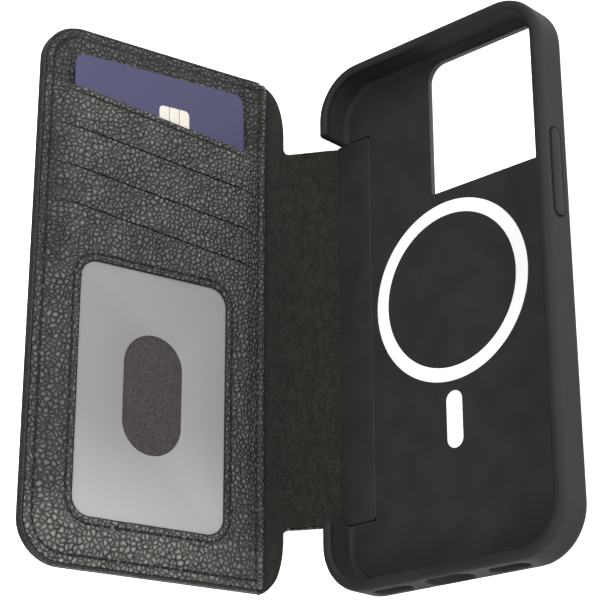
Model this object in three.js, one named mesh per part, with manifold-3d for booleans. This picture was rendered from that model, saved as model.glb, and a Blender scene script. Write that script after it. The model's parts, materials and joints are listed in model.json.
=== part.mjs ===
// Folding wallet case for a phone, in millimetres, +Z up.
// The phone tray lies on its back with its screen side up. X runs across the phone, Y runs along it
// towards the camera end, and the origin is on the back face at the centre of the magnet ring.
// The cover stands half open on the -X side, held by the spine.
import * as THREE from "three";
import { mergeVertices } from "three/addons/utils/BufferGeometryUtils.js";
import Module from "manifold-3d";

// ---- Driving dimensions ----
// The tray is the phone plus what stands round it: walls with room to spare, the floor and the lip.
const PHONE = { width: 71.5, length: 146.7, thickness: 7.7 };
const AROUND = { sides: 3.1, ends: 2.65, below: 1.5, above: 1.7, room: 0.55 };
const GAP = 0.05;
const CLEAR = 0.1;
const FIT = 0.3;
const FAR = 300; // how far a cutting tool reaches past the solid it cuts

const TRAY = {
  width: PHONE.width + 2 * AROUND.sides,
  length: PHONE.length + 2 * AROUND.ends,
  height: AROUND.below + PHONE.thickness + AROUND.above,
  corner: 14,
  wall: AROUND.sides - AROUND.room,
  floor: AROUND.below,
  ledge: 4.2,
  ringFromEnd: 78.7,
};
const SIDE = TRAY.width / 2;
const LOW_END = -TRAY.ringFromEnd;
const HIGH_END = TRAY.length - TRAY.ringFromEnd;

const RING = { outer: 25.5, inner: 21.65, coverThickness: 0.35, magnets: 18, magnetGap: 0.024 };
const MAGNET = { low: 0.45, high: 1.05, inset: 0.2 };
const STRIP = { low: -43.8, high: -28.3, halfWidth: 2.6 };
const CAMERA = { left: -5.2, right: 33.2, low: 28.9, high: 68.2, corner: 5, lowCorner: 1 };

const HINGE_SIDE = { low: -58.2, high: 54.6 };
const FLANGE = { left: -39.4, right: -27.5, low: 0.7, corner: 1.5, hingeCorner: 0.2 };
const RAIL_HEIGHT = 0.55;
const BUTTON = { low: 8.5, high: 32.8, width: 3.6, middle: 5.3, proud: 0.3, flange: 0.55 };
const BUTTON_SLOT = { outer: -2, inner: 6, shoulder: 0.7, shoulderDepth: 1.45 };
const BUTTON_STEM = { end: 0.6, flangeFrom: 1.0, flangeTo: 0.5 };
const PORT = { x: 0, width: 12.4, height: 6 };
const SPEAKER = { x: 18.5, width: 11, height: 4.2 };
const PORT_MIDDLE = 5.3;
const PORT_REACH = 3;
const KEEPER = { length: 14, height: 4, thickness: 0.8, sunk: 0.02 };
const CLOSURE = { fromEdge: 6, halfWidth: 2 };
const CLOSURE_Y = [-50, 48];

const SPINE_HINGE = { x: -40.1, z: 1.3 };
const SPINE_LENGTH = 15.6;
const SPINE_ANGLE = THREE.MathUtils.degToRad(30);
const COVER_ANGLE = THREE.MathUtils.degToRad(76.9);
const FOLD_ROOM = 0.9;
const SPINE_BOARD = { fromFold: 1.8, inset: 1.5 };
const SPINE_LINING_FROM_FOLD = 1.2;

const COVER = { width: 79, length: 150.6, low: -76.2, corner: 12 };
const FREE_CORNER = { across: 8, along: 14.5 };
const COVER_LEATHER = { inset: 0, fromFold: 0.6 };
const COVER_LINING = { inset: 0.5, fromFold: 1.4 };
const COVER_BOARD = { inset: 1.2, fromFold: 2 };
const PANEL = { fromFold: 7.9, inset: 0.5, border: 3.6, squareCorner: 0.5 };
const BACKING = { right: 0.3, left: 0.8, low: 1, belowSlit: 14, corner: 6 };
const LINER = { right: 0.6, left: 1.2, fromTop: 8, corner: 4, bottoms: [44, 32, 9] };
const UPPER_FACE_BELOW_SLIT = 12;
const SLIT = { middles: [129.2, 116.6, 104.9, 94.2], from: 12.5, to: 72.2, width: 0.5 };
const SLIT_TILT = THREE.MathUtils.degToRad(6.15);
const WINDOW = { across: 43.6, along: 47.6, width: 44.4, height: 69, corner: 5, hem: 3 };
const THUMB_HOLE = { across: 43.4, along: 48.2, width: 17.6, height: 33 };
const CARD = { across: 42.9, top: 143.3, width: 53.98, length: 85.6, corner: 3.18, tilt: 1.8, sunk: 0.1 };
const CONTACT = { across: 4.0, fromTop: 9.6, width: 9.6, height: 12, corner: 1.2, thickness: 0.03 };
const CONTACT_SUNK = 0.08;

// Heights of the layers, measured from the fold line on the inner face of the outer leather.
const LAYER = {
  leather: [-0.8, 0],
  board: [0.06, 0.66],
  lining: [0.72, 1.02],
  backing: [1.08, 1.23],
  upperFace: [1.28, 1.78],
  card: [1.84, 2.6],
  liner2: [2.66, 2.72],
  liner3: [2.77, 2.83],
  liner4: [2.88, 2.94],
  film: [2.99, 3.09],
  face: [3.15, 3.65],
};

// ---- Materials ----
function finish(color, roughness, metalness = 0) {
  return new THREE.MeshStandardMaterial({ color, roughness, metalness });
}
const SHELL = finish(0x2c2f2e, 0.55);
const BUMPER = finish(0x32312e, 0.6);
const WHITE = finish(0xf0f1f1, 0.45);
const MAGNETIC = finish(0x8d8f92, 0.3, 1);
const LEATHER = finish(0x1d1d1c, 0.5);
const LINING = finish(0x23241f, 0.95);
const BOARD = finish(0x6b6052, 0.9);
const POCKET = finish(0x353230, 0.9);
const FILM = finish(0x8e9092, 0.4);
const CARD_BLUE = finish(0x3e4468, 0.45);
const CONTACT_METAL = finish(0xd8d4c6, 0.3, 0.8);

// ---- Solids ----
const wasm = await Module();
wasm.setup();

function solid(geometry) {
  const bare = geometry.clone();
  bare.deleteAttribute("normal");
  bare.deleteAttribute("uv");
  const merged = mergeVertices(bare, 1e-4);
  return new wasm.Manifold(
    new wasm.Mesh({
      numProp: 3,
      vertProperties: merged.attributes.position.array,
      triVerts: new Uint32Array(merged.index.array),
    }),
  );
}

function geometryOf(manifold) {
  const mesh = manifold.getMesh();
  const geometry = new THREE.BufferGeometry();
  geometry.setAttribute("position", new THREE.BufferAttribute(mesh.vertProperties, 3));
  geometry.setIndex(new THREE.BufferAttribute(mesh.triVerts, 1));
  geometry.computeVertexNormals();
  return geometry;
}

function cut(body, ...tools) {
  return geometryOf(tools.reduce((left, tool) => left.subtract(solid(tool)), solid(body)));
}

function join(...pieces) {
  return geometryOf(pieces.map(solid).reduce((all, piece) => all.add(piece)));
}

function named(name, geometry, material) {
  const mesh = new THREE.Mesh(geometry, material);
  mesh.name = name;
  return mesh;
}

// A rectangle whose corners are rounded in the order low-left, low-right, high-right, high-left.
function roundedRectangle(left, low, right, high, corners) {
  const radii = corners.length ? corners : Array(4).fill(corners);
  const [lowLeft, lowRight, highRight, highLeft] = radii;
  const shape = new THREE.Shape();
  const quarter = Math.PI / 2;
  shape.absarc(left + lowLeft, low + lowLeft, lowLeft, 2 * quarter, 3 * quarter);
  shape.absarc(right - lowRight, low + lowRight, lowRight, 3 * quarter, 4 * quarter);
  shape.absarc(right - highRight, high - highRight, highRight, 0, quarter);
  shape.absarc(left + highLeft, high - highLeft, highLeft, quarter, 2 * quarter);
  shape.closePath();
  return shape;
}

function capsule(x, y, width, height) {
  const round = Math.min(width, height) / 2 - 0.001;
  return roundedRectangle(x - width / 2, y - height / 2, x + width / 2, y + height / 2, round);
}

function slab(shape, low, high, curveSegments = 8) {
  const geometry = new THREE.ExtrudeGeometry(shape, {
    depth: high - low,
    bevelEnabled: false,
    curveSegments,
  });
  return geometry.translate(0, 0, low);
}

function block(left, low, bottom, right, high, top) {
  const geometry = new THREE.BoxGeometry(right - left, high - low, top - bottom);
  return geometry.translate((left + right) / 2, (low + high) / 2, (bottom + top) / 2);
}

function sector(inner, outer, from, to, low, high, steps) {
  const shape = new THREE.Shape();
  shape.absarc(0, 0, outer, from, to);
  shape.absarc(0, 0, inner, to, from, true);
  shape.closePath();
  return slab(shape, low, high, steps);
}

function annulus(inner, outer, low, high) {
  const shape = new THREE.Shape().absarc(0, 0, outer, 0, 2 * Math.PI);
  shape.holes.push(new THREE.Path().absarc(0, 0, inner, 0, 2 * Math.PI, true));
  return slab(shape, low, high, 48);
}

// ---- Tray ----
function trayOutline(inset) {
  return roundedRectangle(
    inset - SIDE,
    LOW_END + inset,
    SIDE - inset,
    HIGH_END - inset,
    TRAY.corner - inset,
  );
}

// The wall's section as [distance in from the outer face, height], counter-clockwise seen along the wall.
function wallSection() {
  const { wall, floor, ledge, height } = TRAY;
  return [
    [0.9, 0],
    [0.35, 0.35],
    [0, 1.3],
    [0, height - 1.6],
    [0.25, height - 0.7],
    [0.9, height - 0.1],
    [1.7, height],
    [wall + 0.3, height - 0.3],
    [wall + 0.75, height - 0.9],
    [wall + 0.65, height - 1.4],
    [wall, height - 1.8],
    [wall, floor + 1.4],
    [wall + 0.5, floor + 0.4],
    [ledge, floor],
    [ledge, 0],
  ];
}

function bumperSweep() {
  const section = wallSection();
  const steps = 8;
  const centres = [
    [SIDE, LOW_END],
    [SIDE, HIGH_END],
    [-SIDE, HIGH_END],
    [-SIDE, LOW_END],
  ];
  const positions = [];
  centres.forEach(([x, y], corner) => {
    for (let step = 0; step <= steps; step += 1) {
      const turn = (corner - 1 + step / steps) * (Math.PI / 2);
      for (const [inset, z] of section) {
        const radius = TRAY.corner - inset;
        positions.push(
          x - Math.sign(x) * TRAY.corner + radius * Math.cos(turn),
          y - Math.sign(y) * TRAY.corner + radius * Math.sin(turn),
          z,
        );
      }
    }
  });
  const stations = centres.length * (steps + 1);
  const count = section.length;
  const index = [];
  for (let station = 0; station < stations; station += 1) {
    const here = station * count;
    const next = ((station + 1) % stations) * count;
    for (let point = 0; point < count; point += 1) {
      const after = (point + 1) % count;
      index.push(here + point, next + after, here + after);
      index.push(here + point, next + point, next + after);
    }
  }
  const geometry = new THREE.BufferGeometry();
  geometry.setAttribute("position", new THREE.Float32BufferAttribute(positions, 3));
  geometry.setIndex(index);
  return geometry;
}

// A capsule-ended hole through the wall at the low end, centred at x.
function endWallHole(x, width, height) {
  const hole = slab(capsule(0, 0, width, height), -PORT_REACH, PORT_REACH, 6);
  return hole.rotateX(Math.PI / 2).translate(x, LOW_END + PORT_REACH / 2, PORT_MIDDLE);
}

// A capsule lying on the high-X wall, from one depth below the outer face to another.
function sideCapsule(grow, outer, inner) {
  const { low, high, width, middle } = BUTTON;
  const shape = capsule(0, 0, high - low + 2 * grow, width + 2 * grow);
  const geometry = slab(shape, SIDE - inner, SIDE - outer, 6);
  return geometry.rotateX(Math.PI / 2).rotateZ(Math.PI / 2).translate(0, (low + high) / 2, middle);
}

function keeperPocket(y, grow, depth) {
  const inner = SIDE - TRAY.wall;
  const half = KEEPER.length / 2 + grow;
  const rise = KEEPER.height / 2 + grow;
  const geometry = new THREE.BoxGeometry(depth + KEEPER.sunk, 2 * half, 2 * rise);
  return geometry.translate(inner + (depth - KEEPER.sunk) / 2, y, PORT_MIDDLE);
}

function bumper() {
  const inner = TRAY.ledge + FIT - SIDE;
  const { outer, inner: depth, shoulder, shoulderDepth } = BUTTON_SLOT;
  return cut(
    bumperSweep(),
    block(-FAR, HINGE_SIDE.low, RAIL_HEIGHT, inner, HINGE_SIDE.high, FAR),
    endWallHole(PORT.x, PORT.width, PORT.height),
    endWallHole(-SPEAKER.x, SPEAKER.width, SPEAKER.height),
    endWallHole(SPEAKER.x, SPEAKER.width, SPEAKER.height),
    sideCapsule(FIT, outer, depth),
    sideCapsule(FIT + shoulder, TRAY.wall - shoulderDepth, depth),
    ...CLOSURE_Y.map((y) => keeperPocket(y, GAP, KEEPER.thickness + CLEAR)),
  );
}

function powerButton() {
  const { proud, flange } = BUTTON;
  const { end, flangeFrom, flangeTo } = BUTTON_STEM;
  return join(
    sideCapsule(0, -proud, TRAY.wall - end),
    sideCapsule(flange, TRAY.wall - flangeFrom, TRAY.wall - flangeTo),
  );
}

function backPlate() {
  const { left, right, low, high, corner, lowCorner } = CAMERA;
  const recessRight = FLANGE.right + CLEAR;
  const pocket = RING.coverThickness + MAGNET.high - MAGNET.low + 2 * CLEAR;
  const window = roundedRectangle(left, low, right, high, [lowCorner, lowCorner, corner, corner]);
  return cut(
    slab(trayOutline(TRAY.ledge + GAP), 0, TRAY.floor),
    slab(window, -FAR, FAR, 6),
    block(-FAR, HINGE_SIDE.low, FLANGE.low - CLEAR, recessRight, HINGE_SIDE.high, FAR),
    annulus(RING.inner - CLEAR, RING.outer + CLEAR, TRAY.floor - pocket, FAR),
    stripSlab(CLEAR, TRAY.floor - pocket, FAR),
  );
}

function ringMagnet(number) {
  const share = (2 * Math.PI) / RING.magnets;
  const from = Math.PI / 2 + number * share + RING.magnetGap / 2;
  const to = from + share - RING.magnetGap;
  const { low, high, inset } = MAGNET;
  return sector(RING.inner + inset, RING.outer - inset, from, to, low, high, 4);
}

function stripSlab(grow, low, high) {
  const middle = (STRIP.low + STRIP.high) / 2;
  const shape = capsule(0, middle, 2 * (STRIP.halfWidth + grow), STRIP.high - STRIP.low + 2 * grow);
  return slab(shape, low, high, 8);
}

function hingeFlange() {
  const { left, right, low, corner, hingeCorner } = FLANGE;
  const corners = [hingeCorner, corner, corner, hingeCorner];
  const shape = roundedRectangle(left, HINGE_SIDE.low + FIT, right, HINGE_SIDE.high - FIT, corners);
  return slab(shape, low, TRAY.floor, 4);
}

function tray() {
  const group = new THREE.Group();
  const coverLow = TRAY.floor - RING.coverThickness;
  group.add(named("back_plate", backPlate(), SHELL));
  group.add(named("bumper_frame", bumper(), BUMPER));
  group.add(named("power_button", powerButton(), BUMPER));
  for (let number = 0; number < RING.magnets; number += 1) {
    const name = `ring_magnet_${String(number + 1).padStart(2, "0")}`;
    group.add(named(name, ringMagnet(number), MAGNETIC));
  }
  group.add(named("alignment_magnet", stripSlab(-MAGNET.inset, MAGNET.low, MAGNET.high), MAGNETIC));
  group.add(named("magnet_ring_cover", annulus(RING.inner, RING.outer, coverLow, TRAY.floor), WHITE));
  group.add(named("magnet_strip_cover", stripSlab(0, coverLow, TRAY.floor), WHITE));
  group.add(named("hinge_flange", hingeFlange(), SHELL));
  CLOSURE_Y.forEach((y, number) => {
    const plate = keeperPocket(y, 0, KEEPER.thickness);
    group.add(named(`closure_keeper_${number + 1}`, plate, MAGNETIC));
  });
  return group;
}

// ---- Spine ----
function spinePlate([low, high], fromFold, inset) {
  const right = -fromFold;
  const left = fromFold - SPINE_LENGTH;
  return block(left, HINGE_SIDE.low + FIT + inset, low, right, HINGE_SIDE.high - FIT - inset, high);
}

function spine() {
  const group = new THREE.Group();
  const board = spinePlate(LAYER.board, SPINE_BOARD.fromFold, SPINE_BOARD.inset);
  group.add(named("spine_leather", spinePlate(LAYER.leather, FOLD_ROOM, 0), LEATHER));
  group.add(named("spine_board", board, BOARD));
  group.add(named("spine_lining", spinePlate(LAYER.lining, SPINE_LINING_FROM_FOLD, 0), LINING));
  return group;
}

// ---- Cover ----
// In the cover's own frame X is 0 at the fold and negative away from it, Y is 0 at the low end.
// Its far corners are round, and the two corners beside the spine sweep away in longer curves.
function coverOutline({ inset, fromFold }) {
  const corner = COVER.corner - inset;
  const left = inset - COVER.width;
  const right = -fromFold;
  const high = COVER.length - inset;
  const { across, along } = FREE_CORNER;
  const quarter = Math.PI / 2;
  const shape = new THREE.Shape();
  shape.absarc(left + corner, inset + corner, corner, 2 * quarter, 3 * quarter);
  shape.absellipse(right - across, inset + along, across, along, 3 * quarter, 4 * quarter);
  shape.absellipse(right - across, high - along, across, along, 0, quarter);
  shape.absarc(left + corner, high - corner, corner, quarter, 2 * quarter);
  shape.closePath();
  return shape;
}

function panelOutline() {
  const corner = COVER.corner - PANEL.inset;
  return roundedRectangle(
    PANEL.inset - COVER.width,
    PANEL.inset,
    -PANEL.fromFold,
    COVER.length - PANEL.inset,
    [corner, PANEL.squareCorner, PANEL.squareCorner, corner],
  );
}

// A long box whose low edge lies along slit number k, counted from the top.
function alongSlit(k, from, to, rise, [low, high]) {
  const middle = -(SLIT.from + SLIT.to) / 2;
  const strip = block(-to - middle, 0, low, -from - middle, rise, high);
  return strip.rotateZ(-SLIT_TILT).translate(middle, SLIT.middles[k], 0);
}

function closurePocket(y, grow, [low, high]) {
  const halfWidth = CLOSURE.halfWidth + grow;
  const geometry = new THREE.BoxGeometry(2 * halfWidth, KEEPER.length + 2 * grow, high - low);
  return geometry.translate(CLOSURE.fromEdge - COVER.width, y - COVER.low, (low + high) / 2);
}

function coverBoard() {
  const pockets = CLOSURE_Y.map((y) => closurePocket(y, CLEAR, [-FAR, FAR]));
  return cut(slab(coverOutline(COVER_BOARD), ...LAYER.board), ...pockets);
}

function pocketBacking() {
  const { corner, belowSlit } = BACKING;
  const right = -PANEL.fromFold - PANEL.border - BACKING.right;
  const left = PANEL.border + BACKING.left - COVER.width;
  const low = PANEL.border + BACKING.low;
  const shape = roundedRectangle(left, low, right, SLIT.middles[0] - belowSlit, corner);
  return slab(shape, ...LAYER.backing);
}

// The pocket behind slit k hangs from the slit, which its upper edge follows.
function pocketLiner(k, layer) {
  const right = -PANEL.fromFold - PANEL.border - LINER.right;
  const left = PANEL.border + LINER.left - COVER.width;
  const high = COVER.length - LINER.fromTop;
  const shape = roundedRectangle(left, LINER.bottoms[k - 1], right, high, LINER.corner);
  return cut(slab(shape, ...layer, 4), alongSlit(k, -FAR, FAR, FAR, [-FAR, FAR]));
}

function windowFilm() {
  const { across, along, width, height, corner, hem } = WINDOW;
  const shape = roundedRectangle(
    -across - width / 2 - hem,
    along - height / 2 - hem,
    -across + width / 2 + hem,
    along + height / 2 + hem,
    corner,
  );
  const hole = capsule(-THUMB_HOLE.across, THUMB_HOLE.along, THUMB_HOLE.width, THUMB_HOLE.height);
  return cut(slab(shape, ...LAYER.film, 4), slab(hole, -FAR, FAR, 12));
}

// One leather face: the upper part lies low behind the card, the rest bridges over the pockets,
// and the turned edge on three sides closes them.
function walletFace() {
  const [faceLow, faceTop] = LAYER.face;
  const opening = [LAYER.card[1], FAR];
  const [edgeLow, upperTop] = LAYER.upperFace;
  const outline = panelOutline();
  const right = -PANEL.fromFold - PANEL.border;
  const left = PANEL.inset + PANEL.border - COVER.width;
  const { across, along, width, height, corner } = WINDOW;
  const window = roundedRectangle(
    -across - width / 2,
    along - height / 2,
    -across + width / 2,
    along + height / 2,
    corner,
  );
  const inside = block(left, PANEL.inset + PANEL.border, -FAR, right, FAR, faceLow);
  const aboveSlit = alongSlit(0, -right, -left, FAR, [upperTop, FAR]);
  const hollow = solid(slab(outline, edgeLow, faceTop)).subtract(solid(inside));
  const lowerPart = block(-FAR, -FAR, -FAR, FAR, SLIT.middles[0] - UPPER_FACE_BELOW_SLIT, FAR);
  const upper = solid(slab(outline, edgeLow, upperTop)).subtract(solid(lowerPart));
  const slits = [1, 2, 3].map((k) => alongSlit(k, SLIT.from, SLIT.to, SLIT.width, opening));
  const tools = [aboveSlit, slab(window, ...opening, 6), ...slits];
  const face = tools.reduce((body, tool) => body.subtract(solid(tool)), hollow.add(upper));
  return geometryOf(face);
}

function card() {
  const group = new THREE.Group();
  const half = CARD.width / 2;
  const [low, high] = LAYER.card;
  const body = roundedRectangle(-half, -CARD.length, half, 0, CARD.corner);
  const padLow = high - CONTACT_SUNK;
  const pad = roundedRectangle(
    CONTACT.across - CONTACT.width / 2,
    -CONTACT.fromTop - CONTACT.height,
    CONTACT.across + CONTACT.width / 2,
    -CONTACT.fromTop,
    CONTACT.corner,
  );
  const padPlate = slab(pad, padLow, padLow + CONTACT.thickness, 3);
  group.add(named("card_body", slab(body, low, high - CARD.sunk, 5), CARD_BLUE));
  group.add(named("card_contact_pad", padPlate, CONTACT_METAL));
  group.position.set(-CARD.across, CARD.top, 0);
  group.rotation.z = THREE.MathUtils.degToRad(CARD.tilt);
  return group;
}

function cover() {
  const group = new THREE.Group();
  const leather = slab(coverOutline(COVER_LEATHER), ...LAYER.leather);
  const lining = slab(coverOutline(COVER_LINING), ...LAYER.lining);
  group.add(named("cover_leather", leather, LEATHER));
  group.add(named("cover_board", coverBoard(), BOARD));
  group.add(named("cover_lining", lining, LINING));
  CLOSURE_Y.forEach((y, number) => {
    const magnet = closurePocket(y, 0, LAYER.board);
    group.add(named(`closure_magnet_${number + 1}`, magnet, MAGNETIC));
  });
  group.add(named("pocket_backing", pocketBacking(), POCKET));
  group.add(named("pocket_liner_2", pocketLiner(1, LAYER.liner2), POCKET));
  group.add(named("pocket_liner_3", pocketLiner(2, LAYER.liner3), POCKET));
  group.add(named("pocket_liner_4", pocketLiner(3, LAYER.liner4), POCKET));
  group.add(named("id_window_film", windowFilm(), FILM));
  group.add(named("wallet_face", walletFace(), LEATHER));
  group.add(card());
  group.position.set(-SPINE_LENGTH, COVER.low, 0);
  group.rotation.y = COVER_ANGLE - SPINE_ANGLE;
  return group;
}

const phoneCase = new THREE.Group();
const spineGroup = spine();
spineGroup.add(cover());
spineGroup.position.set(SPINE_HINGE.x, 0, SPINE_HINGE.z);
spineGroup.rotation.y = SPINE_ANGLE;
phoneCase.add(tray(), spineGroup);

export default phoneCase;
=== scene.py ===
"""Looks for a folding phone wallet case: a moulded tray, a folding spine and a stitched leather wallet cover.

Shapes are worked out in millimetres and scaled once, in build(). The spine and the cover are made flat in
frames of their own and placed by a matrix: X is 0 at the panel's fold and negative away from it, Y is the
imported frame's Y, and Z is the height above the fold line on the inner side.
"""

import json
import math

import bmesh
import bpy
import numpy as np
from mathutils import Matrix, Vector


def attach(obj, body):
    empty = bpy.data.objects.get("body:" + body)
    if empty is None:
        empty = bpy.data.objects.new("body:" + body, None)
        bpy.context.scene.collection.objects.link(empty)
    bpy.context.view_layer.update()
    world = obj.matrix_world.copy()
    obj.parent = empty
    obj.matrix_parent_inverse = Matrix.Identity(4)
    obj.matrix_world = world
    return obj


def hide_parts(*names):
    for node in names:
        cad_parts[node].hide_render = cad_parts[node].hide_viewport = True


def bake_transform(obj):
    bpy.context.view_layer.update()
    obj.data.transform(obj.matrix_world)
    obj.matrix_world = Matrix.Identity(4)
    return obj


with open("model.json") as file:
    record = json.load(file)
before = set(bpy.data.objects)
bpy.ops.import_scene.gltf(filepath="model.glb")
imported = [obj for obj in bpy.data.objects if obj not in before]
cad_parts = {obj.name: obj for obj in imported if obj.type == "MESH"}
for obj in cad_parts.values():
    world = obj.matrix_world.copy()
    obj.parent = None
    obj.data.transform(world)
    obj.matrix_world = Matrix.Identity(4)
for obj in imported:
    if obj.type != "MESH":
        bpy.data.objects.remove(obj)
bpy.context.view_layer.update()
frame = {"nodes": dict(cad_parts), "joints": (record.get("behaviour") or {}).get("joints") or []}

MM = 0.001
JOINTS = {joint["name"]: joint for joint in frame["joints"]}
NODES = frame["nodes"]


# ---- Places taken from the frame ----
def folded(joint, degrees):
    """The matrix from a folded panel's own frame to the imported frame, in millimetres."""
    x, y, z = (value / MM for value in JOINTS[joint]["pos_m"])
    return Matrix.Translation((x, y, z)) @ Matrix.Rotation(math.radians(degrees), 4, "Y")


def node_points(node, into=None):
    """A CAD node's vertices in millimetres, moved by the matrix into."""
    mesh = NODES[node].data
    points = np.empty(len(mesh.vertices) * 3, np.float32)
    mesh.vertices.foreach_get("co", points)
    points = points.reshape(-1, 3).astype(float) / MM
    return points if into is None else transformed(into, points)


def transformed(matrix, points):
    grid = np.array(matrix)
    return np.asarray(points, float) @ grid[:3, :3].T + grid[:3, 3]


def extent(points):
    return points.min(0), points.max(0)


SPINE_ANGLE = -JOINTS["spine_fold"]["range_deg"][0]
COVER_ANGLE = SPINE_ANGLE - JOINTS["cover_fold"]["range_deg"][0]
SPINE = folded("spine_fold", SPINE_ANGLE)
COVER = folded("cover_fold", COVER_ANGLE)
FROM_COVER = COVER.inverted()

TRAY_LOW, TRAY_HIGH = extent(node_points("bumper_frame"))
FLOOR = node_points("back_plate")[:, 2].max()
FLANGE_LOW, FLANGE_HIGH = extent(node_points("hinge_flange"))
SPINE_LOW, SPINE_HIGH = extent(node_points("spine_leather", SPINE.inverted()))
COVER_LOW, COVER_HIGH = extent(node_points("cover_leather", FROM_COVER))
LINING_LOW, LINING_HIGH = extent(node_points("cover_lining", FROM_COVER))
FACE_LOW, FACE_HIGH = extent(node_points("wallet_face", FROM_COVER))
FILM_LOW, FILM_HIGH = extent(node_points("id_window_film", FROM_COVER))
CARD_LOW, CARD_HIGH = extent(node_points("card_body", FROM_COVER))
CARD_MIDDLE = (CARD_LOW + CARD_HIGH) / 2
CARD_SLIDE = (FROM_COVER.to_3x3() @ Vector(JOINTS["card_slide"]["axis"])).normalized()
CARD_LEAN = math.atan2(-CARD_SLIDE.x, CARD_SLIDE.y)
BUTTON_LOW, BUTTON_HIGH = extent(node_points("power_button"))
SPINE_LENGTH = (Vector(JOINTS["cover_fold"]["pos_m"]) - Vector(JOINTS["spine_fold"]["pos_m"])).length / MM

# ---- Driving dimensions of the looks ----
TRAY_CORNER = 14
WALL = 2.55
LIP = 0.45
LEDGE = 4.2
RAIL_HEIGHT = 0.55
HINGE_GAP = 0.3
# Openings in the low end wall: middle X, width, height, and how far they flare. Their middle lies this high.
OPENINGS = [(0, 12.4, 6, 1.0), (-18.5, 11, 4.2, 0.45), (18.5, 11, 4.2, 0.45)]
OPENING_MIDDLE = 5.3
# Clearance round the power key's neck, and how much wider the key's flange and the flange's room are.
KEY_GAP = 0.25
KEY_FLANGE = 0.55
KEY_ROOM = 0.62
WALL_VOXEL = 0.38

COVER_CORNER = 12
FREE_CORNER = (8, 14.5)
HINGE_REACH = 0.6
FOLD_REACH = 3.0
FOLD_EDGE = 0.6
FOLD_FILLET = 1.8
# Where close rings end and wider ones begin, past the tray's hinge and past the cover's fold.
SPINE_RINGS = (-13.4, -12.6)
COVER_RINGS = (9, 12)
LINING_STEP = 2.4
LINING_INSET = 0.5
LINING_SAG = (0.22, 1.4)

LEATHER_THICKNESS = 0.48
LAYER_GAP = 0.04
CLEARANCE = 0.03
RIM_WIDTH = 0.95
PANEL_CORNER = COVER_CORNER - RIM_WIDTH
SLIT_ENDS = (-72.2, -12.5)
# The slits lie further apart than this, and their two edges part by these amounts.
SLIT_SPACE = 6
SLIT_GAP = (-0.12, 0.50)
HEM_CREASE = 1.9
MAIN_LEVEL = FACE_HIGH[2]
UPPER_LEVEL = 1.78
EDGE_LEVEL = 1.98
CORNER_LIFT = 0.5
GRID = 0.5
TINY = 1e-6
SMALLEST_FACE = 1e-4
WINDOW_HEM = 3
WINDOW_CORNER = 5
FILM_MARGIN = 1.0
POCKET_LIP = 0.7

# Dips and swells of the wallet leather: height and half-width.
HEM_DIP = (0.20, 0.30)
TOP_EDGE_DIP = (0.16, 0.35)
SLIT_DIP = (0.10, 0.3)
WINDOW_SWELL = (0.10, 0.6)
WINDOW_STITCH_DIP = (0.34, 0.32)
WINDOW_EDGE_DIP = (0.25, 0.35)
RIM_SWELL = (0.20, 0.75)
STITCH_DIP = (0.32, 0.34)
RIM_DIP = (0.18, 0.3)
# How far the leather sinks above a slit and stands up below it, and over what length.
SINK_ABOVE = (0.22, 2.4)
STAND_BELOW = (0.30, 3.0)

STITCH_LINE = 2.2
WINDOW_STITCH_LINE = 2.0
STITCH_GROOVE = 0.42
STITCH_PITCH = 3.0
STITCH_LENGTH = 2.3
THREAD_RADIUS = 0.27
THREAD_LIFT = 0.10
THREAD_DIP = 0.3

CARD_CORNER = 3.18
PAD_CORNER = 1.4
PAD_INNER_CORNER = 0.25
PAD_GAP = 0.16
CARD_HALF = 53.98 / 2
CARD_GAP = 0.10
CARD_MARGIN = 1.9
CARD_FADE = 1.6


# ---- Where the wallet panel's parts lie ----
def slit_line(points):
    """The height of a slanted upper edge half way along it, its slope, and that half-way X."""
    left, right = points[:, 0].min(), points[:, 0].max()
    tops = [points[np.abs(points[:, 0] - x) < 0.05][:, 1].max() for x in (left, right)]
    return (tops[0] + tops[1]) / 2, (tops[0] - tops[1]) / (right - left), (left + right) / 2


def first_slit(second):
    """The slit in front of the card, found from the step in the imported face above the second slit."""
    points = node_points("wallet_face", FROM_COVER)
    on_top = points[:, 2] > FACE_HIGH[2] - 0.05
    past_second = points[:, 1] > second[0] + SLIT_SPACE
    below_corner = points[:, 1] < COVER_HIGH[1] - COVER_CORNER - GRID
    return slit_line(points[on_top & past_second & below_corner])


LINER_SLITS = [slit_line(node_points(f"pocket_liner_{number}", FROM_COVER)) for number in (2, 3, 4)]
SLITS = [first_slit(LINER_SLITS[0]), *LINER_SLITS]
SLOPE = SLITS[1][1]
SLANT_X = sum(SLIT_ENDS) / 2
SLIT_Y = [y + slope * (x - SLANT_X) for y, slope, x in SLITS]
# The panel's edge runs half a millimetre under the rim.
TUCK = RIM_WIDTH - 0.5
PANEL_BOX = (FACE_LOW[0] + TUCK, FACE_LOW[1] + TUCK, FACE_HIGH[0], FACE_HIGH[1] - TUCK)
PANEL_CORNERS = [PANEL_CORNER, 1.0, 1.0, PANEL_CORNER]
WINDOW_BOX = (*(FILM_LOW[:2] + WINDOW_HEM), *(FILM_HIGH[:2] - WINDOW_HEM))
WINDOW_CORNERS = [WINDOW_CORNER] * 4


# ---- Meshes ----
def build(name, points, faces, material, place=None, crease=40):
    """A smooth-shaded object from millimetre points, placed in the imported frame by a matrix."""
    if place is not None:
        points = transformed(place, points)
    mesh = bpy.data.meshes.new(name)
    mesh.from_pydata((np.asarray(points) * MM).tolist(), [], [list(map(int, face)) for face in faces])
    work = bmesh.new()
    work.from_mesh(mesh)
    bmesh.ops.recalc_face_normals(work, faces=work.faces)
    work.to_mesh(mesh)
    work.free()
    return finished(bpy.data.objects.new(name, mesh), material, crease)


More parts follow.
